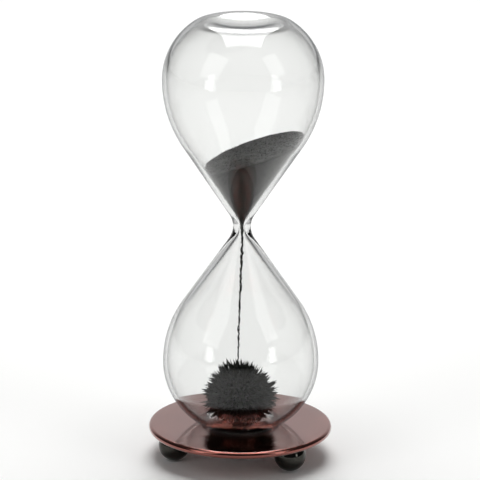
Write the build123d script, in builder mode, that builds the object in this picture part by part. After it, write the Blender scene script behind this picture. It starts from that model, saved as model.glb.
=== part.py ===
from build123d import *

import os
from dataclasses import dataclass, replace
from math import cos, radians, sin, sqrt

# Magnetic hourglass: a sealed two-bulb glass vessel with iron filings in it, standing loose
# on a round lacquered plate that has a magnet under it and three ball feet.
# Millimetres. +Z is up, the origin is on the floor under the middle of the plate, and the
# front is towards -Y.

# Base plate and ball feet
plate_radius = 30.0
plate_thickness = 2.2
plate_edge = 1.08  # nearly half the thickness, so the rim is a full round
ball_radius = 5.15
ball_circle = 22.4
ball_first_angle = -43.4  # right front foot, from +X about +Z
ball_sunk = 1.65  # how far each ball stands up into its socket
socket_depth = 1.75
socket_play = 0.02

# Magnet in its steel cup, bonded under the plate
magnet_radius = 10.0
magnet_thickness = 3.5
adhesive_thickness = 0.2
adhesive_radius = 9.5
cup_wall = 1.25
cup_floor = 1.0
cup_play = 0.15
cup_edge = 0.8
magnet_chamfer = 0.3
socket_mouth = 0.3  # depth of each socket's mouth that holds no adhesive

# Glass
wall = 1.25
neck_bore = 0.7
vessel_gap = 0.05  # between the lower ridge and the plate
waist_rise = 67.15  # waist above the lower ridge

# Iron filings
filings_gap = 0.12  # between filings and glass
charge_level = 23.85  # surface above the waist, on the axis
charge_slope = 0.347  # rise of the surface towards +X
charge_fall = 0.03  # fall of the surface towards +Y
charge_foot = 1.0  # the filings reach this far below the waist, in the bore
mound_height = 20.3  # above the lower ridge, without the spikes
mound_crown = 11.2  # radius of the mound and of its domed top
spike_rings = 8
spike_ring_step = 14  # degrees between rings
spikes_in_large_ring = 21
spike_ring_shift = 0.43  # turn between rings, as a share of the spacing
spike_length = 3.4
spike_radius = 0.62
spike_tip = 0.12
spike_root = 1.6  # how much of a spike is inside the mound
stream_gap = 0.02  # between the falling thread and the mound
# The thread at even steps of its fall: its place across and in depth, and its radius
thread_way = ((0.12, 0), (-0.1, 0.05), (-0.62, -0.05), (-0.8, 0.05), (-0.88, 0))
thread_radii = (0.42, 0.35, 0.28, 0.25, 0.22)

socket_radius = sqrt(ball_radius**2 - (ball_radius - ball_sunk) ** 2) + socket_play
plate_bottom = 2 * ball_radius - ball_sunk
plate_top = plate_bottom + plate_thickness
ridge_low = plate_top + vessel_gap
waist = ridge_low + waist_rise


@dataclass
class Bulb:
    """The outline of one bulb, from the waist to the middle of its end."""

    neck: float  # radius at the waist
    cone: float  # angle between the straight cone and the axis
    widest: float  # largest radius
    rise: float  # from the waist to the largest radius
    belly: float  # arc between the cone and the largest radius
    crown: float  # arc beyond the largest radius
    crown_turn: float  # angle that the crown arc turns through
    shoulder: float  # arc over the ridge of the end
    dimple: float  # slope of the dished end just inside its ridge


def inset(bulb, by):
    """The same outline moved inwards."""
    return replace(
        bulb,
        neck=bulb.neck - by,
        widest=bulb.widest - by,
        belly=bulb.belly - by,
        crown=bulb.crown - by,
        shoulder=bulb.shoulder - by,
    )


def draw_bulb(bulb, up):
    """Draws the outline of a bulb above the waist (up = 1) or below it (up = -1)."""
    lean = radians(bulb.cone)
    widest = (bulb.widest, waist + up * bulb.rise)
    belly = JernArc(widest, (0, -up), bulb.belly, -up * bulb.cone)
    across = (belly @ 1).X - bulb.neck
    along = abs((belly @ 1).Y - waist)
    neck_arc = (along * sin(lean) - across * cos(lean)) / (1 - cos(lean))
    straight = (across - neck_arc * (1 - cos(lean))) / sin(lean)
    cone = PolarLine(belly @ 1, straight, direction=(-sin(lean), -up * cos(lean)))
    JernArc(cone @ 1, cone % 1, neck_arc, up * bulb.cone)
    crown = JernArc(widest, (0, up), bulb.crown, up * bulb.crown_turn)
    over = 90 - bulb.crown_turn + bulb.dimple
    ridge = JernArc(crown @ 1, crown % 1, bulb.shoulder, up * over)
    dish = (ridge @ 1).X / sin(radians(bulb.dimple))
    end = JernArc(ridge @ 1, ridge % 1, dish, -up * bulb.dimple)
    return end @ 1


def draw_vessel(upper, lower):
    """Draws a closed half outline of the whole vessel: both bulbs and the axis."""
    top = draw_bulb(upper, 1)
    bottom = draw_bulb(lower, -1)
    Line((0, top.Y), (0, bottom.Y))


upper_outside = Bulb(
    neck=2.9,
    cone=33.5,
    widest=25.95,
    rise=48.6,
    belly=38.9,
    crown=22.1,
    crown_turn=55.6,
    shoulder=7.7,
    dimple=15,
)
lower_outside = Bulb(
    neck=2.9,
    cone=34.5,
    widest=25.35,
    rise=45.75,
    belly=34.5,
    crown=23.8,
    crown_turn=63.2,
    shoulder=1.5,
    dimple=20,
)
# The wall thickens towards the waist and at the lower end.
upper_inside = replace(inset(upper_outside, wall), neck=neck_bore, cone=34.7)
lower_inside = replace(
    inset(lower_outside, wall), neck=neck_bore, cone=35.7, crown_turn=60, shoulder=3.0
)
upper_filled = inset(upper_inside, filings_gap)
lower_filled = inset(lower_inside, filings_gap)

# One-piece glass vessel
with BuildPart() as glass_vessel:
    with BuildSketch(Plane.XZ):
        with BuildLine():
            draw_vessel(upper_outside, lower_outside)
        make_face()
    revolve(axis=Axis.Z)
    with BuildSketch(Plane.XZ):
        with BuildLine():
            draw_vessel(upper_inside, lower_inside)
        make_face()
    revolve(axis=Axis.Z, mode=Mode.SUBTRACT)

# Filings in the upper bulb: they fill the cone below a slanting surface and run into the bore
with BuildPart() as iron_charge:
    with BuildSketch(Plane.XZ):
        with BuildLine():
            draw_vessel(upper_filled, lower_filled)
        make_face()
    revolve(axis=Axis.Z)
    split(
        bisect_by=Plane(
            (0, 0, waist + charge_level), z_dir=(-charge_slope, charge_fall, 1)
        ),
        keep=Keep.BOTTOM,
    )
    split(bisect_by=Plane.XY.offset(waist - charge_foot), keep=Keep.TOP)

# Mound of filings standing up in the magnet's field: a domed heap with rings of spikes
with BuildPart() as iron_mound:
    with BuildSketch(Plane.XZ):
        with BuildLine():
            draw_vessel(upper_filled, lower_filled)
        make_face()
    revolve(axis=Axis.Z)
    with BuildSketch(Plane.XZ):
        with BuildLine():
            dome = JernArc((0, ridge_low + mound_height), (1, 0), mound_crown, -90)
            Polyline(dome @ 1, (mound_crown, plate_top), (0, plate_top), dome @ 0)
        make_face()
    revolve(axis=Axis.Z, mode=Mode.INTERSECT)
    dome_centre = ridge_low + mound_height - mound_crown
    reach = mound_crown - spike_root + spike_length / 2
    spots = []
    for ring in range(1, spike_rings + 1):
        tilt = spike_ring_step * ring
        count = min(6 * ring, spikes_in_large_ring)
        for spike in range(count):
            turn = 360 * (spike + spike_ring_shift * ring) / count
            spots.append(
                Location((0, 0, dome_centre), (0, 0, turn))
                * Location((0, 0, 0), (0, tilt, 0))
                * Location((0, 0, reach))
            )
    with Locations(*spots):
        Cone(spike_radius, spike_tip, spike_length)

# Thread of falling filings, from the bore to the top of the mound
thread_top = waist - charge_foot
thread_drop = thread_top - (ridge_low + mound_height + stream_gap)
with BuildPart() as iron_stream:
    for step, ((across, deep), radius) in enumerate(zip(thread_way, thread_radii)):
        height = thread_top - thread_drop * step / (len(thread_way) - 1)
        with BuildSketch(Plane.XY.offset(height)):
            with Locations((across, deep)):
                Circle(radius)
    loft(ruled=True)

# Round plate with a full-round rim and three blind sockets for the balls
with BuildPart() as base_plate:
    with BuildSketch(Plane.XY.offset(plate_bottom)):
        Circle(plate_radius)
    extrude(amount=plate_thickness)
    fillet(base_plate.edges(), plate_edge)
    with BuildSketch(Plane.XY.offset(plate_bottom)):
        with PolarLocations(ball_circle, 3, ball_first_angle):
            Circle(socket_radius)
    extrude(amount=socket_depth, mode=Mode.SUBTRACT)

# Adhesive between plate and magnet
with BuildPart() as magnet_adhesive:
    with BuildSketch(Plane.XY.offset(plate_bottom - adhesive_thickness)):
        Circle(adhesive_radius)
    extrude(amount=adhesive_thickness)

# Magnet disc with softened edges
magnet_top = plate_bottom - adhesive_thickness
with BuildPart() as magnet:
    with BuildSketch(Plane.XY.offset(magnet_top - magnet_thickness)):
        Circle(magnet_radius)
    extrude(amount=magnet_thickness)
    chamfer(magnet.edges(), magnet_chamfer)

# Steel cup round the magnet, its rim against the plate
cup_radius = magnet_radius + cup_play + cup_wall
cup_bottom = magnet_top - magnet_thickness - cup_floor
with BuildPart() as magnet_cup:
    with BuildSketch(Plane.XY.offset(cup_bottom)):
        Circle(cup_radius)
    extrude(amount=plate_bottom - cup_bottom)
    fillet(magnet_cup.edges().sort_by(Axis.Z)[0], cup_edge)
    with BuildSketch(Plane.XY.offset(cup_bottom + cup_floor)):
        Circle(magnet_radius + cup_play)
    extrude(amount=plate_bottom - cup_bottom - cup_floor, mode=Mode.SUBTRACT)

# Adhesive above each ball, in its socket
with BuildPart() as foot_adhesive:
    with BuildSketch(Plane.XY.offset(plate_bottom + socket_mouth)):
        with PolarLocations(ball_circle, 3, ball_first_angle):
            Circle(socket_radius - socket_play)
    extrude(amount=socket_depth - socket_mouth)
    with Locations((0, 0, ball_radius)):
        with PolarLocations(ball_circle, 3, ball_first_angle):
            Sphere(ball_radius + socket_play / 2, mode=Mode.SUBTRACT)

nodes = [
    ("glass_vessel", glass_vessel),
    ("iron_charge", iron_charge),
    ("iron_mound", iron_mound),
    ("iron_stream", iron_stream),
    ("base_plate", base_plate),
    ("magnet_adhesive", magnet_adhesive),
    ("magnet", magnet),
    ("magnet_cup", magnet_cup),
    ("foot_adhesive", foot_adhesive),
]

# Three polished balls
for number, name in enumerate(("foot_right", "foot_back", "foot_left")):
    with BuildPart() as foot:
        with Locations((0, 0, ball_radius)):
            with PolarLocations(ball_circle, 1, ball_first_angle + 120 * number):
                Sphere(ball_radius)
    nodes.append((name, foot))

os.makedirs("parts", exist_ok=True)
for name, node in nodes:
    node.part.label = name
    export_step(node.part, f"parts/{name}.step")
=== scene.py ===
"""Looks of a magnetic hourglass: a blown glass vessel with iron filings on a lacquered base."""

import logging
import math
import random
from dataclasses import dataclass, field, replace
from enum import Enum
from functools import cached_property, lru_cache

import bpy
from mathutils import Matrix, Vector, noise


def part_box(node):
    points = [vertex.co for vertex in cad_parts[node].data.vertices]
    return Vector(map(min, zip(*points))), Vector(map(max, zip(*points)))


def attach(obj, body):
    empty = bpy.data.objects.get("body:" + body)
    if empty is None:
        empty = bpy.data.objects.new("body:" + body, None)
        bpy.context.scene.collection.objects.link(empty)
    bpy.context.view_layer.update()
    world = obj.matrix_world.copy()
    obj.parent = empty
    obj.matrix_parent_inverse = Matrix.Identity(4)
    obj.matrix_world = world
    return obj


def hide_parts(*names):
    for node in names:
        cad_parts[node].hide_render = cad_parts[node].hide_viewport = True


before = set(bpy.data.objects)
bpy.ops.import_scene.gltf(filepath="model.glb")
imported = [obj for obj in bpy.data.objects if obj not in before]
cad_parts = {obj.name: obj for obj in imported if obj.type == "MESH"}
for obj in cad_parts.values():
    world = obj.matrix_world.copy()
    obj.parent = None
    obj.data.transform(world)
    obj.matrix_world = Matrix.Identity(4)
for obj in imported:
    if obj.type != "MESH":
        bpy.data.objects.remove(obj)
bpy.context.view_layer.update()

MM = 0.001
MERGE_DISTANCE = 1e-7
SMOOTH_ANGLE = math.radians(30)

# Points along each stretch of a bulb's outline
NECK_STEPS = 14
CONE_STEPS = 10
BELLY_STEPS = 20
CROWN_STEPS = 24
SHOULDER_STEPS = 14
DISH_STEPS = 10

# How mottling turns into colour and roughness
FINE_SHARE = 0.5
COLOUR_STOPS = (0.35, 0.65)
ROUGHNESS_STOPS = (0.3, 0.7)
LOG = logging.getLogger("hourglass")

Outline = list[tuple[float, float]]
Colour = tuple[float, float, float, float]


class Body(Enum):
    """The rigid bodies of the model."""

    BASE = "base"
    VESSEL = "vessel"


class Slot(Enum):
    """The record's material slots."""

    GLASS = "clear_glass"
    FILINGS = "iron_filings"
    LACQUER = "lacquered_plate"
    ADHESIVE = "adhesive"
    MAGNET = "nickel_magnet"
    CUP = "steel_cup"
    BALL = "polished_ball"


class Half(Enum):
    """Which way a bulb points from the waist."""

    UP = 1
    DOWN = -1


# ---------------------------------------------------------------- mesh helpers


def clear_selection() -> None:
    """Leaves edit mode and deselects every object."""
    if bpy.context.object and bpy.context.object.mode != "OBJECT":
        bpy.ops.object.mode_set(mode="OBJECT")
    bpy.ops.object.select_all(action="DESELECT")


def make_active(piece: bpy.types.Object) -> None:
    """Selects one object alone and makes it active.

    Args:
        piece: the object to select.
    """
    clear_selection()
    piece.select_set(True)
    bpy.context.view_layer.objects.active = piece


def rename(piece: bpy.types.Object, name: str) -> bpy.types.Object:
    """Names an object and its mesh.

    Args:
        piece: the object to name.
        name: its new name.

    Returns:
        The same object.
    """
    piece.name = name
    piece.data.name = name
    return piece


def settle(piece: bpy.types.Object) -> bpy.types.Object:
    """Puts an object's place into its mesh, so that the object sits at the origin.

    Args:
        piece: the object to settle.

    Returns:
        The same object.
    """
    make_active(piece)
    bpy.ops.object.transform_apply(location=True, rotation=True, scale=True)
    return piece


def apply_modifier(piece: bpy.types.Object, kind: str, **values: object) -> None:
    """Adds a modifier, sets its values and applies it.

    Args:
        piece: the mesh object.
        kind: the modifier's type.
        values: its properties by name.
    """
    make_active(piece)
    modifier = piece.modifiers.new(kind.lower(), kind)
    for name, value in values.items():
        setattr(modifier, name, value)
    bpy.ops.object.modifier_apply(modifier=modifier.name)


def slice_off(piece: bpy.types.Object, point: tuple[float, ...], normal: tuple[float, ...]) -> None:
    """Cuts off what lies beyond a plane, and closes the cut.

    Args:
        piece: the mesh object.
        point: a point on the plane.
        normal: the plane's direction, towards the side that goes.
    """
    make_active(piece)
    bpy.ops.object.mode_set(mode="EDIT")
    bpy.ops.mesh.select_all(action="SELECT")
    bpy.ops.mesh.bisect(plane_co=point, plane_no=normal, use_fill=True, clear_outer=True)
    bpy.ops.object.mode_set(mode="OBJECT")


def smooth_faces(piece: bpy.types.Object) -> None:
    """Shades a piece smooth, apart from its sharp edges."""
    make_active(piece)
    bpy.ops.object.shade_smooth_by_angle(angle=SMOOTH_ANGLE)


def turn_on_lathe(
    name: str, outline: Outline, segments: int, inward: bool = False
) -> bpy.types.Object:
    """Draws an outline by extruding one vertex, and spins it round the Z axis.

    Args:
        name: the new piece's name.
        outline: radius and height of each point in metres, from pole to pole.
        segments: steps round the axis.
        inward: whether the faces point to the axis, as on the wall of a cavity.

    Returns:
        A closed mesh object at the origin.
    """
    clear_selection()
    start = Vector((outline[0][0], 0, outline[0][1]))
    bpy.ops.mesh.primitive_plane_add(size=MM, location=start)
    piece = settle(rename(bpy.context.object, name))
    bpy.ops.object.mode_set(mode="EDIT")
    bpy.ops.mesh.select_mode(type="VERT")
    bpy.ops.mesh.select_all(action="SELECT")
    bpy.ops.mesh.merge(type="CENTER")
    last = start
    for radius, height in outline[1:]:
        point = Vector((radius, 0, height))
        bpy.ops.mesh.extrude_region_move(TRANSFORM_OT_translate={"value": point - last})
        last = point
    bpy.ops.mesh.select_all(action="SELECT")
    bpy.ops.mesh.spin(steps=segments, angle=math.tau, center=(0, 0, 0), axis=(0, 0, 1))
    bpy.ops.mesh.select_all(action="SELECT")
    bpy.ops.mesh.remove_doubles(threshold=MERGE_DISTANCE)
    bpy.ops.mesh.normals_make_consistent(inside=inward)
    bpy.ops.object.mode_set(mode="OBJECT")
    bpy.ops.object.shade_smooth()
    return piece


def join(name: str, pieces: list[bpy.types.Object]) -> bpy.types.Object:
    """Joins objects into one.

    Args:
        name: the joined object's name.
        pieces: the objects, the first of which keeps its place.

    Returns:
        The joined object.
    """
    clear_selection()
    for piece in pieces:
        piece.select_set(True)
    bpy.context.view_layer.objects.active = pieces[0]
    bpy.ops.object.join()
    return rename(bpy.context.object, name)


def arc(
    centre: tuple[float, float], radius: float, first: float, last: float, steps: int
) -> Outline:
    """Points along an arc, without its first one.

    Args:
        centre: radius and height of the arc's centre.
        radius: the arc's radius.
        first: angle from the outward direction where it starts, in radians.
        last: angle where it ends.
        steps: number of points.

    Returns:
        The points in order.
    """
    angles = [first + (last - first) * (k + 1) / steps for k in range(steps)]
    return [(centre[0] + radius * math.cos(a), centre[1] + radius * math.sin(a)) for a in angles]


def ray(tilt: float, turn: float) -> Vector:
    """A unit vector.

    Args:
        tilt: angle from straight up, in radians.
        turn: direction round the Z axis, in radians.

    Returns:
        The vector.
    """
    return Vector(
        (math.sin(tilt) * math.cos(turn), math.sin(tilt) * math.sin(turn), math.cos(tilt))
    )


def facing(direction: Vector, axis: str) -> Matrix:
    """The turn that points one local axis in a direction.

    Args:
        direction: where the axis has to point.
        axis: the local axis, Z or -Z.

    Returns:
        A rotation.
    """
    return direction.to_track_quat(axis, "Y").to_matrix().to_4x4()


# ---------------------------------------------------------------- node helpers


class NodeBench:
    """A material's node tree with short calls to add and link nodes."""

    def __init__(self, tree: bpy.types.NodeTree) -> None:
        """Empties the tree.

        Args:
            tree: the tree to work on.
        """
        self.tree = tree
        tree.nodes.clear()

    def add(self, kind: str, **values: object) -> bpy.types.Node:
        """Adds a node and sets its properties.

        Args:
            kind: the node's type name.
            values: its properties by name.

        Returns:
            The node.
        """
        node = self.tree.nodes.new(kind)
        for name, value in values.items():
            setattr(node, name, value)
        return node

    def link(self, source: bpy.types.NodeSocket, target: bpy.types.NodeSocket) -> None:
        """Links two sockets."""
        self.tree.links.new(source, target)

    def ramp(
        self, source: bpy.types.NodeSocket, stops: list[tuple[float, Colour]]
    ) -> bpy.types.NodeSocket:
        """Adds a colour ramp.

        Args:
            source: the value that drives it.
            stops: position and colour of each stop.

        Returns:
            The ramp's colour socket.
        """
        node = self.add("ShaderNodeValToRGB")
        elements = node.color_ramp.elements
        while len(elements) < len(stops):
            elements.new(0.5)
        for element, (position, colour) in zip(elements, stops):
            element.position = position
            element.color = colour
        self.link(source, node.inputs["Fac"])
        return node.outputs["Color"]


def grey(value: float) -> Colour:
    """A grey of that value."""
    return (value, value, value, 1.0)


def grain_group() -> bpy.types.NodeTree:
    """Builds the shared effect of fine and coarse mottling.

    Returns:
        A group with Scale and Coarse inputs that puts out Fine and Coarse masks.
    """
    name = "mottling"
    if name in bpy.data.node_groups:
        return bpy.data.node_groups[name]
    group = bpy.data.node_groups.new(name, "ShaderNodeTree")
    for label, default in (("Scale", 1000.0), ("Coarse Scale", 100.0)):
        socket = group.interface.new_socket(label, in_out="INPUT", socket_type="NodeSocketFloat")
        socket.default_value = default
    for label in ("Fine", "Coarse"):
        group.interface.new_socket(label, in_out="OUTPUT", socket_type="NodeSocketFloat")
    bench = NodeBench(group)
    inlet = bench.add("NodeGroupInput")
    outlet = bench.add("NodeGroupOutput")
    place = bench.add("ShaderNodeTexCoord")
    for output, scale, detail in (("Fine", "Scale", 4.0), ("Coarse", "Coarse Scale", 3.0)):
        texture = bench.add("ShaderNodeTexNoise")
        texture.inputs["Detail"].default_value = detail
        bench.link(place.outputs["Object"], texture.inputs["Vector"])
        bench.link(inlet.outputs[scale], texture.inputs["Scale"])
        bench.link(texture.outputs["Fac"], outlet.inputs[output])
    return group


@dataclass(frozen=True)
class Finish:
    """A surface with two mottled colours, uneven roughness and a fine bump."""

    slot: Slot
    dark: Colour
    light: Colour
    metallic: float
    roughness: tuple[float, float]
    fine_scale: float
    coarse_scale: float
    bump_depth: float
    bump_strength: float = 0.3
    coat: float = 0.0
    coat_roughness: float = 0.03
    specular: float = 0.5

    def build(self) -> bpy.types.Material:
        """Makes the material.

        Returns:
            A node material named after the slot.
        """
        material = bpy.data.materials.new(self.slot.value + "_finish")
        material.use_nodes = True
        bench = NodeBench(material.node_tree)
        output = bench.add("ShaderNodeOutputMaterial")
        shader = bench.add("ShaderNodeBsdfPrincipled")
        shader.inputs["Metallic"].default_value = self.metallic
        shader.inputs["Coat Weight"].default_value = self.coat
        shader.inputs["Coat Roughness"].default_value = self.coat_roughness
        shader.inputs["Specular IOR Level"].default_value = self.specular
        mottle = bench.add("ShaderNodeGroup", node_tree=grain_group())
        mottle.inputs["Scale"].default_value = self.fine_scale
        mottle.inputs["Coarse Scale"].default_value = self.coarse_scale
        mixed = bench.add("ShaderNodeMath", operation="MULTIPLY_ADD")
        mixed.inputs[1].default_value = FINE_SHARE
        bench.link(mottle.outputs["Fine"], mixed.inputs[0])
        coarse = bench.add("ShaderNodeMath", operation="MULTIPLY")
        coarse.inputs[1].default_value = 1 - FINE_SHARE
        bench.link(mottle.outputs["Coarse"], coarse.inputs[0])
        bench.link(coarse.outputs["Value"], mixed.inputs[2])
        colours = list(zip(COLOUR_STOPS, (self.dark, self.light)))
        bench.link(bench.ramp(mixed.outputs["Value"], colours), shader.inputs["Base Color"])
        greys = list(zip(ROUGHNESS_STOPS, map(grey, self.roughness)))
        rough = bench.ramp(mottle.outputs["Coarse"], greys)
        bench.link(rough, shader.inputs["Roughness"])
        bump = bench.add("ShaderNodeBump")
        bump.inputs["Strength"].default_value = self.bump_strength
        bump.inputs["Distance"].default_value = self.bump_depth
        bench.link(mottle.outputs["Fine"], bump.inputs["Height"])
        bench.link(bump.outputs["Normal"], shader.inputs["Normal"])
        bench.link(shader.outputs["BSDF"], output.inputs["Surface"])
        return material


@dataclass(frozen=True)
class ClearGlass:
    """Blown glass: smooth and faintly uneven, with painted shade: a grey veil darkens it where the
    eye looks along the wall.

    The look is set. A share of grey transparency grows towards the outline, along
    edge_stops, and reflection holds back the mirror image that a wall seen square on gives.
    """

    slot: Slot = Slot.GLASS
    tint: Colour = (0.955, 0.96, 0.955, 1.0)
    ior: float = 1.5
    reflection: Colour = (0.65, 0.65, 0.65, 1.0)
    absorbed: Colour = (0.30, 0.31, 0.32, 1.0)
    density: float = 35.0
    # Painted shade: the grey of the see-through veil that darkens the glass towards its outline.
    outline_shade: Colour = (0.55, 0.56, 0.57, 1.0)
    edge_stops: tuple[tuple[float, float], ...] = (
        (0.45, 0.0),
        (0.7, 0.1),
        (0.86, 0.55),
        (1.0, 0.95),
    )
    wave_scale: float = 45.0
    wave_depth: float = 0.00002
    wave_strength: float = 0.15

    def build(self) -> bpy.types.Material:
        """Makes the glass.

        Returns:
            A node material with a surface and an absorbing volume.
        """
        material = bpy.data.materials.new(self.slot.value + "_finish")
        material.use_nodes = True
        bench = NodeBench(material.node_tree)
        output = bench.add("ShaderNodeOutputMaterial")
        shader = bench.add("ShaderNodeBsdfPrincipled")
        # Painted shade: a grey see-through veil is mixed in where the wall is seen edge-on,
        # darkening the outline.
        slant = bench.add("ShaderNodeLayerWeight")
        slant.inputs["Blend"].default_value = 0.5
        stops = [(at, grey(share)) for at, share in self.edge_stops]
        edges = bench.ramp(slant.outputs["Facing"], stops)
        veil = bench.add("ShaderNodeBsdfTransparent")
        veil.inputs["Color"].default_value = self.outline_shade
        surface = bench.add("ShaderNodeMixShader")
        bench.link(edges, surface.inputs["Fac"])
        bench.link(shader.outputs["BSDF"], surface.inputs[1])
        bench.link(veil.outputs["BSDF"], surface.inputs[2])
        shader.inputs["Base Color"].default_value = self.tint
        shader.inputs["Transmission Weight"].default_value = 1.0
        shader.inputs["IOR"].default_value = self.ior
        shader.inputs["Specular Tint"].default_value = self.reflection
        shader.inputs["Roughness"].default_value = 0.0
        waves = bench.add("ShaderNodeGroup", node_tree=grain_group())
        waves.inputs["Scale"].default_value = self.wave_scale
        bump = bench.add("ShaderNodeBump")
        bump.inputs["Strength"].default_value = self.wave_strength
        bump.inputs["Distance"].default_value = self.wave_depth
        bench.link(waves.outputs["Fine"], bump.inputs["Height"])
        bench.link(bump.outputs["Normal"], shader.inputs["Normal"])
        volume = bench.add("ShaderNodeVolumeAbsorption")
        volume.inputs["Color"].default_value = self.absorbed
        volume.inputs["Density"].default_value = self.density
        bench.link(surface.outputs["Shader"], output.inputs["Surface"])
        bench.link(volume.outputs["Volume"], output.inputs["Volume"])
        return material


class Finishes:
    """Every finish of the object, one for each slot."""

    def __init__(self) -> None:
        """Builds them all."""
        plans = (
            ClearGlass(),
            Finish(
                Slot.FILINGS,
                dark=(0.003, 0.0032, 0.0026, 1),
                light=(0.034, 0.036, 0.029, 1),
                metallic=0.15,
                roughness=(0.45, 0.65),
                fine_scale=4200.0,
                coarse_scale=700.0,
                bump_depth=0.0002,
                bump_strength=0.8,
                specular=0.2,
            ),
            Finish(
                Slot.LACQUER,
                dark=(0.20, 0.05, 0.036, 1),
                light=(0.28, 0.08, 0.058, 1),
                metallic=1.0,
                roughness=(0.1, 0.2),
                fine_scale=2600.0,
                coarse_scale=60.0,
                bump_depth=0.000004,
                bump_strength=0.1,
                coat=1.0,
            ),
            Finish(
                Slot.ADHESIVE,
                dark=(0.60, 0.56, 0.44, 1),
                light=(0.74, 0.71, 0.60, 1),
                metallic=0.0,
                roughness=(0.3, 0.5),
                fine_scale=900.0,
                coarse_scale=150.0,
                bump_depth=0.00005,
            ),
            Finish(
                Slot.MAGNET,
                dark=(0.50, 0.49, 0.46, 1),
                light=(0.66, 0.65, 0.62, 1),
                metallic=1.0,
                roughness=(0.2, 0.34),
                fine_scale=1800.0,
                coarse_scale=220.0,
                bump_depth=0.00001,
            ),
            Finish(
                Slot.CUP,
                dark=(0.40, 0.40, 0.41, 1),
                light=(0.58, 0.58, 0.59, 1),
                metallic=1.0,
                roughness=(0.26, 0.42),
                fine_scale=2200.0,
                coarse_scale=180.0,
                bump_depth=0.00001,
            ),
            Finish(
                Slot.BALL,
                dark=(0.035, 0.034, 0.03, 1),
                light=(0.06, 0.058, 0.051, 1),
                metallic=1.0,
                roughness=(0.04, 0.08),
                fine_scale=1500.0,
                coarse_scale=160.0,
                bump_depth=0.000002,
                bump_strength=0.05,
            ),
        )
        self.materials = {plan.slot: plan.build() for plan in plans}

    def dress(
        self, piece: bpy.types.Object, slot: Slot, body: Body, *nodes: str
    ) -> bpy.types.Object:
        """Gives a finished piece its material and body, and hides the CAD nodes it stands for.

        Args:
            piece: the finished mesh.
            slot: where its finish comes from.
            body: the rigid body that it rides on.
            nodes: CAD nodes that it replaces.

        Returns:
            The same piece.
        """
        piece.data.materials.clear()
        piece.data.materials.append(self.materials[slot])
        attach(piece, body.value)
        if nodes:
            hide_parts(*nodes)
        LOG.info("%s: %d faces, rides on %s", piece.name, len(piece.data.polygons), body.value)
        return piece

    def dress_node(self, name: str, slot: Slot) -> None:
        """Gives a carried-over CAD node its finish.

        Args:
            name: the CAD node.
            slot: where its finish comes from.
        """
        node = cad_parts[name]
        node.data.materials.clear()
        node.data.materials.append(self.materials[slot])
        LOG.info("%s: carried over from the frame", name)


# ---------------------------------------------------------------- glass vessel


@dataclass(frozen=True)
class BulbOutline:
    """One bulb's half outline, from the waist to the middle of its end.

    Lengths are in millimetres and angles in degrees. The outline is an arc at the neck, a straight
    cone, an arc up to the widest place, an arc over the crown, an arc over the shoulder and a dish.
    """

    neck: float
    cone: float
    widest: float
    rise: float
    belly: float
    crown: float
    crown_turn: float
    shoulder: float
    dimple: float

    def inset(self, by: float) -> "BulbOutline":
        """The same outline moved inwards.

        Args:
            by: distance in millimetres.

        Returns:
            The moved outline.
        """
        return replace(
            self,
            neck=self.neck - by,
            widest=self.widest - by,
            belly=self.belly - by,
            crown=self.crown - by,
            shoulder=self.shoulder - by,
        )

    def points(self) -> Outline:
        """Draws the outline.

        Returns:
            Radius and distance from the waist of each point, from the waist to the pole.
        """
        lean = math.radians(self.cone)
        sine, cosine = math.sin(lean), math.cos(lean)
        across = self.widest - self.belly * (1 - cosine) - self.neck
        along = self.rise - self.belly * sine
        neck_arc = (along * sine - across * cosine) / (1 - cosine)
        straight = (across - neck_arc * (1 - cosine)) / sine
        line = [(self.neck, 0.0)]
        line += arc((self.neck + neck_arc, 0), neck_arc, math.pi, math.pi - lean, NECK_STEPS)
        radius, height = line[-1]
        line += [
            (
                radius + sine * straight * (k + 1) / CONE_STEPS,
                height + cosine * straight * (k + 1) / CONE_STEPS,
            )
            for k in range(CONE_STEPS)
        ]
        line += arc((self.widest - self.belly, self.rise), self.belly, -lean, 0, BELLY_STEPS)
        turn = math.radians(self.crown_turn)
        line += arc((self.widest - self.crown, self.rise), self.crown, 0, turn, CROWN_STEPS)
        offset = self.crown - self.shoulder
        centre = (
            self.widest - self.crown + offset * math.cos(turn),
            self.rise + offset * math.sin(turn),
        )
        slope = math.radians(self.dimple)
        line += arc(centre, self.shoulder, turn, math.pi / 2 + slope, SHOULDER_STEPS)
        radius, height = line[-1]
        dish = radius / math.sin(slope)
        middle = (0.0, height + dish * math.cos(slope))
        line += arc(middle, dish, slope - math.pi / 2, -math.pi / 2, DISH_STEPS)
        return line[:-1] + [(0.0, line[-1][1])]


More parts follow.
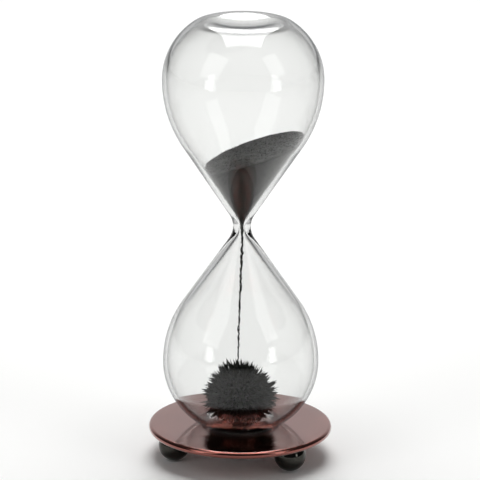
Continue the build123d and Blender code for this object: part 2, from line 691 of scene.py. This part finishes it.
@dataclass(frozen=True)
class Vessel:
    """The one-piece blown glass vessel. Sizes are in millimetres."""

    upper: BulbOutline = BulbOutline(
        neck=2.9,
        cone=33.5,
        widest=25.95,
        rise=48.6,
        belly=38.9,
        crown=22.1,
        crown_turn=55.6,
        shoulder=7.7,
        dimple=15,
    )
    lower: BulbOutline = BulbOutline(
        neck=2.9,
        cone=34.5,
        widest=25.35,
        rise=45.75,
        belly=34.5,
        crown=23.8,
        crown_turn=63.2,
        shoulder=1.5,
        dimple=20,
    )
    wall: float = 1.25
    bore: float = 0.7
    upper_cone: float = 34.7
    lower_cone: float = 35.7
    lower_crown_turn: float = 60.0
    lower_shoulder: float = 3.0
    segments: int = 144

    @cached_property
    def waist(self) -> float:
        """Height of the waist in metres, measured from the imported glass."""
        ridge = max(height for _, height in self.lower.points())
        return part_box("glass_vessel")[0].z + ridge * MM

    def cavity(self, half: Half) -> BulbOutline:
        """The inside of one bulb.

        Args:
            half: which bulb.

        Returns:
            The cavity's outline.
        """
        if half is Half.UP:
            return replace(self.upper.inset(self.wall), neck=self.bore, cone=self.upper_cone)
        return replace(
            self.lower.inset(self.wall),
            neck=self.bore,
            cone=self.lower_cone,
            crown_turn=self.lower_crown_turn,
            shoulder=self.lower_shoulder,
        )

    def whole(self, upper: BulbOutline, lower: BulbOutline) -> Outline:
        """The outline of both bulbs, in metres, from the lower pole to the upper one.

        Args:
            upper: the upper bulb's outline.
            lower: the lower bulb's outline.

        Returns:
            Radius and height of each point above the floor.
        """
        waist = self.waist
        down = [(r * MM, waist - h * MM) for r, h in reversed(lower.points())]
        up = [(r * MM, waist + h * MM) for r, h in upper.points()[1:]]
        return down + up

    @lru_cache(maxsize=None)
    def inside_line(self, gap: float, half: Half) -> Outline:
        """The cavity's outline with a clearance, in millimetres.

        Args:
            gap: clearance from the glass.
            half: which bulb.

        Returns:
            Radius and distance from the waist of each point.
        """
        return self.cavity(half).inset(gap).points()

    def room(self, level: float, gap: float, half: Half) -> float:
        """The cavity's radius at a height.

        Args:
            level: height above the floor in metres.
            gap: clearance from the glass in millimetres.
            half: which bulb.

        Returns:
            The largest radius there in metres, or 0 outside the cavity.
        """
        line = self.inside_line(gap, half)
        height = (level - self.waist) * half.value / MM
        widest = 0.0
        for (r0, h0), (r1, h1) in zip(line, line[1:]):
            if min(h0, h1) <= height <= max(h0, h1) and h0 != h1:
                widest = max(widest, r0 + (r1 - r0) * (height - h0) / (h1 - h0))
        return widest * MM

    def build(self, finishes: Finishes) -> bpy.types.Object:
        """Turns the outer wall and the cavity, and joins them.

        Args:
            finishes: the object's finishes.

        Returns:
            The glass piece.
        """
        outside = turn_on_lathe("glass", self.whole(self.upper, self.lower), self.segments)
        hollow = self.whole(self.cavity(Half.UP), self.cavity(Half.DOWN))
        inside = turn_on_lathe("cavity", hollow, self.segments, inward=True)
        glass = join("glass_vessel_blown", [outside, inside])
        return finishes.dress(glass, Slot.GLASS, Body.VESSEL, "glass_vessel")


# ---------------------------------------------------------------- filings


@dataclass(frozen=True)
class Shard:
    """A pointed filing that is modelled once and copied. Sizes in millimetres."""

    name: str
    sides: int
    radius: float
    length: float
    waist: float
    tip_lean: float = 0.3

    def build(self) -> bpy.types.Object:
        """Models the filing, standing on its root at the origin.

        Returns:
            The filing, whose radius halfway up is waist times its radius at the root.
        """
        clear_selection()
        half = self.length * MM / 2
        bpy.ops.mesh.primitive_cone_add(
            vertices=self.sides,
            radius1=self.radius * MM,
            radius2=self.radius * self.waist * MM,
            depth=half,
            location=(0, 0, self.length * MM / 4),
        )
        piece = settle(rename(bpy.context.object, self.name))
        bpy.ops.object.mode_set(mode="EDIT")
        bpy.ops.mesh.select_mode(type="FACE")
        bpy.ops.mesh.select_all(action="DESELECT")
        bpy.ops.object.mode_set(mode="OBJECT")
        top = max(polygon.center.z for polygon in piece.data.polygons)
        for polygon in piece.data.polygons:
            polygon.select = polygon.center.z == top
        bpy.ops.object.mode_set(mode="EDIT")
        tip = (self.radius * MM * self.tip_lean, 0, half)
        bpy.ops.mesh.extrude_region_move(TRANSFORM_OT_translate={"value": tip})
        bpy.ops.mesh.merge(type="CENTER")
        bpy.ops.object.mode_set(mode="OBJECT")
        return piece

    def scatter(self, name: str, places: list[Matrix]) -> bpy.types.Object:
        """Copies the filing to many places and joins the copies.

        Args:
            name: the joined piece's name.
            places: where each copy goes.

        Returns:
            The joined piece.
        """
        model = self.build()
        copies = []
        for place in places:
            copy = model.copy()
            copy.data = model.data.copy()
            copy.data.transform(place)
            bpy.context.scene.collection.objects.link(copy)
            copies.append(copy)
        bpy.data.objects.remove(model)
        return join(name, copies)


@dataclass(frozen=True)
class Dent:
    """A smooth rise or hollow on one side of the mound. Angles in degrees, change in millimetres."""

    tilt: float
    width: float
    change: float
    side: int  # 1 towards +X, -1 towards -X

    def at(self, tilt: float, turn: float) -> float:
        """The change of reach in one direction.

        Args:
            tilt: angle from straight up, in radians.
            turn: direction round the axis, in radians.

        Returns:
            The change in millimetres.
        """
        away = (math.degrees(tilt) - self.tilt) / self.width
        return self.change * math.exp(-(away**2)) * max(0.0, self.side * math.cos(turn))


@dataclass
class Filings:
    """The iron filings: the charge above, the falling thread and the mound.

    Sizes are in millimetres and angles in radians, unless a comment says otherwise.
    """

    vessel: Vessel
    gap: float = 0.14  # between filings and glass
    dice: random.Random = field(default_factory=lambda: random.Random(41))

    # Charge
    level: float = 23.85  # surface above the waist, on the axis
    slope: float = 0.347  # rise of the surface towards +X
    fall: float = 0.03  # fall of the surface towards +Y
    charge_foot: float = 1.0  # the filings reach this far below the waist
    charge_segments: int = 128
    charge_voxel: float = 0.32
    charge_clouds: tuple[tuple[float, float], ...] = ((0.5, 0.3), (3.0, 0.6))  # scale, strength
    charge_mid: float = 0.6  # share of the clouds that lies below the surface
    surface_band: float = 0.4  # how far below the surface the clouds still work
    shard: Shard = Shard("shard", sides=3, radius=0.11, length=0.6, waist=0.8)
    shard_count: int = 2600
    shard_field: float = 20.0  # half the side of the square that shards fall on
    shard_gap: float = 0.5
    shard_lie: tuple[float, float] = (0.9, 1.5)
    shard_size: tuple[float, float] = (0.6, 1.3)

    # Thread
    grain: Shard = Shard("grain", sides=4, radius=0.2, length=1.0, waist=0.85)
    thread_grains: int = 330
    thread_start: float = 0.12  # place across at the bore
    thread_drift: float = 1.0  # how far across it drifts on its way down
    thread_wobbles: tuple[tuple[float, float, float], ...] = (  # size, rate and start of each
        (0.09, 31, 0),
        (0.05, 73, 1),
    )
    thread_sway: tuple[float, float, float] = (0.08, 23, 2)  # the same in depth
    thread_spread: tuple[float, float] = (0.34, 0.14)  # radius at the bore, loss on the way
    grain_tilt: float = 0.3
    grain_size: tuple[float, float] = (0.7, 1.2)
    grain_taper: tuple[float, float] = (1.15, 0.4)  # size at the bore, loss on the way

    # Mound
    spike: Shard = Shard("spike", sides=4, radius=0.4, length=3.0, waist=0.55)
    mound_height: float = 20.3
    mound_radius: float = 11.2
    mound_skin: float = 1.9  # depth of the spikes' roots below the mound's radius
    mound_segments: int = 96
    mound_cloud: tuple[float, float, float] = (1.2, 1.0, 0.9)  # scale, strength, share below
    mound_tips: float = 12.6  # reach of the spikes from the mound's middle
    mound_dents: tuple[Dent, ...] = (
        Dent(tilt=35, width=24, change=-1.5, side=1),
        Dent(tilt=12, width=14, change=0.35, side=-1),
    )
    mound_lumps: tuple[float, float, float] = (4, 2.2, 0.55)  # scale down, scale round, size
    spike_count: int = 1250
    spike_length: tuple[float, float] = (2.4, 4.6)
    spike_lowest: float = 128  # degrees from straight up
    spike_reach: tuple[float, float] = (-0.5, 0.75)  # mean and spread
    spike_lean: float = 0.2
    spike_shift: tuple[float, float] = (0.02, 0.08)
    spike_width: tuple[float, float] = (0.7, 1.3)

    def surface_height(self, x: float, y: float) -> float:
        """Height of the charge's slanting surface.

        Args:
            x: place across, in metres.
            y: place in depth, in metres.

        Returns:
            The height above the floor in metres.
        """
        return self.vessel.waist + self.level * MM + self.slope * x - self.fall * y

    def build_charge(self, finishes: Finishes) -> None:
        """Fills the upper cone up to a slanting, grainy surface.

        Args:
            finishes: the object's finishes.
        """
        waist = self.vessel.waist
        wall = self.vessel.cavity(Half.UP).inset(self.gap)
        shape = [(0.0, waist - self.charge_foot * MM)]
        shape += [(wall.neck * MM, waist - self.charge_foot * MM)]
        shape += [(r * MM, waist + h * MM) for r, h in wall.points() if h < wall.rise]
        shape += [(0.0, shape[-1][1])]
        charge = turn_on_lathe("charge", shape, self.charge_segments)
        slant = (-self.slope, self.fall, 1)
        slice_off(charge, (0, 0, self.surface_height(0, 0)), slant)
        voxel = self.charge_voxel * MM
        apply_modifier(charge, "REMESH", mode="VOXEL", voxel_size=voxel, adaptivity=0.0)
        normal = Vector(slant).normalized()
        top = charge.vertex_groups.new(name="surface")
        for vertex in charge.data.vertices:
            lift = vertex.co.z - self.surface_height(vertex.co.x, vertex.co.y)
            upward = max(0.0, vertex.normal.dot(normal))
            share = upward if lift > -self.surface_band * MM else 0.0
            top.add([vertex.index], share, "REPLACE")
        for scale, strength in self.charge_clouds:
            clouds = bpy.data.textures.new("filings_clouds", "CLOUDS")
            clouds.noise_scale = scale * MM
            apply_modifier(
                charge,
                "DISPLACE",
                texture=clouds,
                texture_coords="LOCAL",
                strength=strength * MM,
                mid_level=self.charge_mid,
                vertex_group="surface",
                direction="NORMAL",
            )
        make_active(charge)
        bpy.ops.object.shade_smooth()
        finishes.dress(rename(charge, "iron_charge_heap"), Slot.FILINGS, Body.VESSEL, "iron_charge")
        shards = self.shard.scatter("iron_charge_shards", self.shard_places())
        finishes.dress(shards, Slot.FILINGS, Body.VESSEL)

    def shard_places(self) -> list[Matrix]:
        """Throws shards on the charge's surface.

        Returns:
            Where each one lies.
        """
        places = []
        while len(places) < self.shard_count:
            x = self.dice.uniform(-self.shard_field, self.shard_field) * MM
            y = self.dice.uniform(-self.shard_field, self.shard_field) * MM
            z = self.surface_height(x, y)
            if math.hypot(x, y) > self.vessel.room(z, self.gap + self.shard_gap, Half.UP):
                continue
            spin = Matrix.Rotation(self.dice.uniform(0, math.tau), 4, "Z")
            lie = Matrix.Rotation(self.dice.uniform(*self.shard_lie), 4, "Y")
            size = Matrix.Scale(self.dice.uniform(*self.shard_size), 4)
            places.append(Matrix.Translation((x, y, z)) @ spin @ lie @ size)
        return places

    def thread_path(self, share: float, foot: float) -> Vector:
        """A point on the falling thread, which drifts aside and wobbles a little.

        Args:
            share: 0 at the bore and 1 at the mound.
            foot: height of the thread's lower end in metres.

        Returns:
            The point in metres.
        """
        top = self.vessel.waist - self.charge_foot * MM
        drift = self.thread_start - self.thread_drift * (share * share * (3 - 2 * share))
        wobble = sum(
            size * math.sin(share * rate + start) for size, rate, start in self.thread_wobbles
        )
        size, rate, start = self.thread_sway
        sway = size * math.sin(share * rate + start)
        across = (drift + wobble * share) * MM
        return Vector((across, sway * share * MM, top + (foot - top) * share))

    def build_stream(self, finishes: Finishes) -> None:
        """Strings pointed grains along the falling thread.

        Args:
            finishes: the object's finishes.
        """
        places = []
        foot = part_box("iron_stream")[0].z
        for number in range(self.thread_grains):
            share = (number + self.dice.random()) / self.thread_grains
            spread = self.thread_spread[0] - self.thread_spread[1] * share
            turn = self.dice.uniform(0, math.tau)
            reach = spread * math.sqrt(self.dice.random()) * MM
            aside = Vector((math.cos(turn), math.sin(turn), 0)) * reach
            point = Matrix.Translation(self.thread_path(share, foot) + aside)
            tilt = Matrix.Rotation(self.dice.uniform(-self.grain_tilt, self.grain_tilt), 4, "Y")
            taper = self.grain_taper[0] - self.grain_taper[1] * share
            size = Matrix.Scale(self.dice.uniform(*self.grain_size) * taper, 4)
            places.append(point @ Matrix.Rotation(turn, 4, "Z") @ tilt @ size)
        grains = self.grain.scatter("iron_stream_grains", places)
        finishes.dress(grains, Slot.FILINGS, Body.VESSEL, "iron_stream")

    def mound_reach(self, tilt: float, turn: float) -> float:
        """How far the tips of the spikes reach from the middle of the mound.

        Args:
            tilt: angle from straight up, in radians.
            turn: direction round the axis, in radians.

        Returns:
            The distance in metres.
        """
        down, round_axis, size = self.mound_lumps
        place = (tilt * down, math.cos(turn) * round_axis, math.sin(turn) * round_axis)
        lumps = size * noise.noise(Vector(place))
        dents = sum(dent.at(tilt, turn) for dent in self.mound_dents)
        return (self.mound_tips + dents + lumps) * MM

    def build_mound(self, finishes: Finishes) -> None:
        """Stands spikes on a rough dome.

        Args:
            finishes: the object's finishes.
        """
        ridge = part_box("glass_vessel")[0].z
        centre = Vector((0, 0, ridge + (self.mound_height - self.mound_radius) * MM))
        floor = self.vessel.cavity(Half.DOWN).inset(self.gap)
        waist = self.vessel.waist
        core = self.mound_radius - self.mound_skin
        shape = [
            (r * MM, waist - h * MM)
            for r, h in reversed(floor.points())
            if h > floor.rise and r < core
        ]
        shape += [(core * MM, centre.z)]
        dome = arc((0, 0), core, 0, math.pi / 2, CROWN_STEPS)
        shape += [(r * MM, centre.z + h * MM) for r, h in dome]
        shape[-1] = (0.0, shape[-1][1])
        heap = turn_on_lathe("heap", shape, self.mound_segments)
        scale, strength, below = self.mound_cloud
        clouds = bpy.data.textures.new("heap_clouds", "CLOUDS")
        clouds.noise_scale = scale * MM
        apply_modifier(
            heap,
            "DISPLACE",
            texture=clouds,
            texture_coords="LOCAL",
            strength=strength * MM,
            mid_level=below,
        )
        finishes.dress(rename(heap, "iron_mound_heap"), Slot.FILINGS, Body.VESSEL, "iron_mound")
        spikes = self.spike.scatter("iron_mound_spikes", self.spike_places(centre))
        finishes.dress(spikes, Slot.FILINGS, Body.VESSEL)

    def spike_places(self, centre: Vector) -> list[Matrix]:
        """Stands spikes all over the mound, and leaves out those that would touch the glass.

        Args:
            centre: the middle of the mound's dome.

        Returns:
            Where each spike stands.
        """
        places = []
        golden = math.pi * (3 - math.sqrt(5))
        lowest = math.cos(math.radians(self.spike_lowest))
        for number in range(self.spike_count):
            share = (number + 0.5) / self.spike_count
            tilt = math.acos(1 - share * (1 - lowest)) + self.dice.gauss(0, self.spike_shift[0])
            turn = number * golden + self.dice.gauss(0, self.spike_shift[1])
            reach = self.mound_reach(tilt, turn) + self.dice.gauss(*self.spike_reach) * MM
            length = self.dice.uniform(*self.spike_length)
            root = reach - length * MM
            lean = tilt + self.dice.gauss(0, self.spike_lean)
            yaw = turn + self.dice.gauss(0, self.spike_lean)
            at = centre + root * ray(tilt, turn)
            aim = ray(lean, yaw)
            tip = at + aim * length * MM
            if tip.xy.length > self.vessel.room(tip.z, self.gap, Half.DOWN):
                continue
            width = self.dice.uniform(*self.spike_width)
            stretch = Matrix.Diagonal((width, width, length / self.spike.length, 1))
            places.append(Matrix.Translation(at) @ facing(aim, "Z") @ stretch)
        return places


# ---------------------------------------------------------------- base


@dataclass(frozen=True)
class Base:
    """The lacquered plate with its magnet and balls. Sizes in millimetres."""

    segments: int = 192
    edge: float = 1.08  # radius of the plate's rim
    edge_steps: int = 10
    face_steps: int = 8  # rings of the plate's flat faces
    feet: tuple[str, ...] = ("foot_right", "foot_back", "foot_left")
    ball_flat: float = 0.12  # height cut off each ball where it is bonded
    ball_segments: int = 96
    ball_rings: int = 64
    socket_play: float = 0.02
    socket_headroom: float = 0.1
    socket_segments: int = 64
    cup_play: float = 0.15  # between the magnet and the cup's wall
    cup_edge: float = 0.8
    cup_edge_steps: int = 8
    cup_segments: int = 96

    def build_plate(self, finishes: Finishes) -> None:
        """Turns the plate with its full-round rim and cuts the sockets.

        Args:
            finishes: the object's finishes.
        """
        low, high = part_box("base_plate")
        radius, edge = high.x, self.edge * MM
        rings = [(radius - edge) * k / self.face_steps for k in range(self.face_steps + 1)]
        line = [(ring, low.z) for ring in rings]
        line += arc((radius - edge, low.z + edge), edge, -math.pi / 2, 0, self.edge_steps)
        line += [(radius, high.z - edge)]
        line += arc((radius - edge, high.z - edge), edge, 0, math.pi / 2, self.edge_steps)
        line += [(ring, high.z) for ring in reversed(rings[:-1])]
        plate = turn_on_lathe("base_plate_lacquered", line, self.segments)
        for name in self.feet:
            lowest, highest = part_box(name)
            middle = (lowest + highest) / 2
            ball = (highest.z - lowest.z) / 2
            sunk = highest.z - low.z
            socket = math.sqrt(ball**2 - (ball - sunk) ** 2) + self.socket_play * MM
            clear_selection()
            bpy.ops.mesh.primitive_cylinder_add(
                vertices=self.socket_segments,
                radius=socket,
                depth=(sunk + self.socket_headroom * MM) * 2,
                location=(middle.x, middle.y, low.z),
            )
            cutter = bpy.context.object
            apply_modifier(plate, "BOOLEAN", object=cutter, operation="DIFFERENCE", solver="EXACT")
            bpy.data.objects.remove(cutter)
        smooth_faces(plate)
        finishes.dress(plate, Slot.LACQUER, Body.BASE, "base_plate")

    def build_feet(self, finishes: Finishes) -> None:
        """Makes each ball, with the small flat on top where it is bonded.

        Args:
            finishes: the object's finishes.
        """
        for name in self.feet:
            low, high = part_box(name)
            middle = (low + high) / 2
            radius = (high.z - low.z) / 2
            clear_selection()
            bpy.ops.mesh.primitive_uv_sphere_add(
                segments=self.ball_segments,
                ring_count=self.ball_rings,
                radius=radius,
                location=middle,
            )
            ball = settle(rename(bpy.context.object, name + "_ball"))
            slice_off(ball, (0, 0, high.z - self.ball_flat * MM), (0, 0, 1))
            smooth_faces(ball)
            finishes.dress(ball, Slot.BALL, Body.BASE, name)

    def build_magnet(self, finishes: Finishes) -> None:
        """Turns the steel cup with its rounded edge, and dresses the pieces inside it.

        Args:
            finishes: the object's finishes.
        """
        low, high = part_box("magnet_cup")
        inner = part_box("magnet")
        radius, bore = high.x, inner[1].x + self.cup_play * MM
        edge, floor = self.cup_edge * MM, inner[0].z
        line = [(0.0, low.z), ((radius - edge) / 2, low.z), (radius - edge, low.z)]
        line += arc((radius - edge, low.z + edge), edge, -math.pi / 2, 0, self.cup_edge_steps)
        line += [(radius, high.z), (bore, high.z), (bore, floor), (bore / 2, floor), (0.0, floor)]
        cup = turn_on_lathe("magnet_cup_pressed", line, self.cup_segments)
        smooth_faces(cup)
        finishes.dress(cup, Slot.CUP, Body.BASE, "magnet_cup")
        finishes.dress_node("magnet", Slot.MAGNET)
        finishes.dress_node("magnet_adhesive", Slot.ADHESIVE)
        finishes.dress_node("foot_adhesive", Slot.ADHESIVE)


# ---------------------------------------------------------------- studio


@dataclass(frozen=True)
class SoftBox:
    """A soft rectangular light. Lengths in metres, power in watts."""

    name: str
    at: tuple[float, float, float]
    target: tuple[float, float, float]
    size: tuple[float, float]
    power: float

    def hang(self) -> None:
        """Hangs the light, turned to its target."""
        data = bpy.data.lights.new(self.name, "AREA")
        data.shape = "RECTANGLE"
        data.size, data.size_y = self.size
        data.energy = self.power
        light = bpy.data.objects.new(self.name, data)
        bpy.context.scene.collection.objects.link(light)
        place = Vector(self.at)
        light.matrix_world = Matrix.Translation(place) @ facing(Vector(self.target) - place, "-Z")


@dataclass(frozen=True)
class Studio:
    """Camera, floor, soft lights and surroundings. Lengths in metres, angles in degrees."""

    distance: float = 1.1
    elevation: float = 19.5
    aim_above: float = 2.94
    aim_aside: float = 0.03
    roll: float = 0.5
    lens: float = 266.1  # focal length in millimetres, and the sensor's width below
    sensor: float = 36.0
    clip: tuple[float, float] = (0.05, 50.0)
    floor_radius: float = 6.0
    floor_colour: Colour = (0.92, 0.92, 0.91, 1)
    floor_roughness: float = 0.8
    lights: tuple[SoftBox, ...] = (
        SoftBox("overhead", (0, 0.5, 0.8), (0, 0.5, 0), (0.5, 1.3), 9.4),
        SoftBox("left_box", (-0.75, -0.6, 0.75), (0, 0, 0.07), (0.6, 0.8), 2.2),
        SoftBox("right_box", (0.78, -0.55, 0.8), (0, 0, 0.07), (0.45, 0.7), 1.5),
        SoftBox("left_low_box", (-0.75, -0.63, 0.2), (0, 0, 0.01), (0.2, 0.26), 0.5),
        SoftBox("right_low_box", (0.75, -0.63, 0.2), (0, 0, 0.01), (0.2, 0.26), 0.55),
    )
    # Brightness of the surroundings, from straight in front (0) to straight behind (1)
    surroundings: tuple[tuple[float, float], ...] = (
        (0.0, 0.06),
        (0.5, 0.04),
        (0.8, 0.1),
        (0.92, 0.68),
        (1.0, 0.68),
    )

    def build_camera(self) -> None:
        """Makes the camera, looking along +Y and down at the plate."""
        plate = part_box("base_plate")[1].z
        height = plate + self.distance * math.tan(math.radians(self.elevation))
        data = bpy.data.cameras.new("camera")
        data.lens = self.lens
        data.sensor_width = self.sensor
        data.clip_start, data.clip_end = self.clip
        camera = bpy.data.objects.new("camera", data)
        bpy.context.scene.collection.objects.link(camera)
        pitch = math.radians(90 - self.elevation + self.aim_above)
        camera.matrix_world = (
            Matrix.Translation((0, -self.distance, height))
            @ Matrix.Rotation(math.radians(self.aim_aside), 4, "Z")
            @ Matrix.Rotation(pitch, 4, "X")
            @ Matrix.Rotation(math.radians(self.roll), 4, "Z")
        )
        bpy.context.scene.camera = camera

    def build_floor(self) -> None:
        """Lays a plain pale floor."""
        clear_selection()
        bpy.ops.mesh.primitive_circle_add(
            vertices=128, radius=self.floor_radius, fill_type="NGON", location=(0, 0, 0)
        )
        floor = rename(bpy.context.object, "floor")
        material = bpy.data.materials.new("pale_floor")
        material.use_nodes = True
        shader = material.node_tree.nodes["Principled BSDF"]
        shader.inputs["Base Color"].default_value = self.floor_colour
        shader.inputs["Roughness"].default_value = self.floor_roughness
        floor.data.materials.append(material)

    def build_world(self) -> None:
        """Surrounds the set with a glow that is bright behind and dim in front."""
        world = bpy.data.worlds.new("surroundings")
        world.use_nodes = True
        bench = NodeBench(world.node_tree)
        output = bench.add("ShaderNodeOutputWorld")
        background = bench.add("ShaderNodeBackground")
        place = bench.add("ShaderNodeTexCoord")
        axes = bench.add("ShaderNodeSeparateXYZ")
        bench.link(place.outputs["Generated"], axes.inputs["Vector"])
        spread = bench.add("ShaderNodeMapRange")
        spread.inputs["From Min"].default_value = -1.0
        bench.link(axes.outputs["Y"], spread.inputs["Value"])
        stops = [(at, grey(glow)) for at, glow in self.surroundings]
        colour = bench.ramp(spread.outputs["Result"], stops)
        bench.link(colour, background.inputs["Color"])
        bench.link(background.outputs["Background"], output.inputs["Surface"])
        bpy.context.scene.world = world

    def build(self) -> None:
        """Sets up the whole studio."""
        self.build_camera()
        self.build_floor()
        for light in self.lights:
            light.hang()
        self.build_world()
        bpy.context.scene.view_settings.view_transform = "Standard"


def main() -> None:
    """Builds the hourglass piece by piece, then the studio round it."""
    logging.basicConfig(level=logging.INFO, format="%(name)s: %(message)s")
    Studio().build()
    finishes = Finishes()
    vessel = Vessel()
    vessel.build(finishes)
    filings = Filings(vessel)
    filings.build_charge(finishes)
    filings.build_stream(finishes)
    filings.build_mound(finishes)
    base = Base()
    base.build_plate(finishes)
    base.build_feet(finishes)
    base.build_magnet(finishes)


if __name__ == "__main__":
    main()
